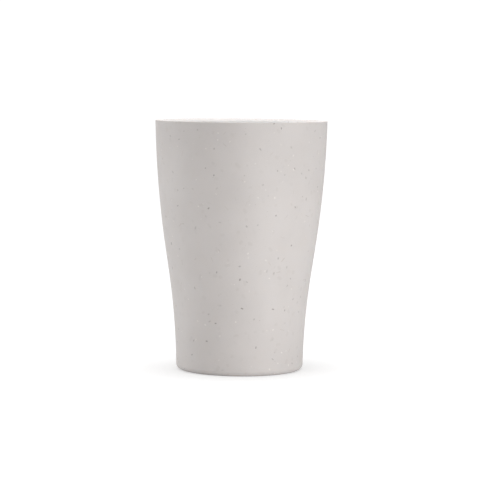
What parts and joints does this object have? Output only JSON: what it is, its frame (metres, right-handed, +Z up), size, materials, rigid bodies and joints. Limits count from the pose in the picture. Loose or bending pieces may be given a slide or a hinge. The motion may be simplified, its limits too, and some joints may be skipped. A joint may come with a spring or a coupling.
{
  "type": "wheat straw cup",
  "caption": "Tapered one-piece drinking cup with a softly curved side, a crisp lip rounded on the inside and a recessed foot, moulded from straw-filled plastic.",
  "frame": {"origin": "middle of the flat ring that the cup stands on", "axes": "+Z up along the cup's axis, towards the mouth; X and Y are any two square directions, as the cup is round"},
  "size_m": [0.0826, 0.0826, 0.12],
  "materials": {
    "straw_plastic": "matte, warm light grey, with fine dark and tan straw specks"
  },
  "bodies": {
    "root": {"cup": "straw_plastic"}
  },
  "joints": []
}
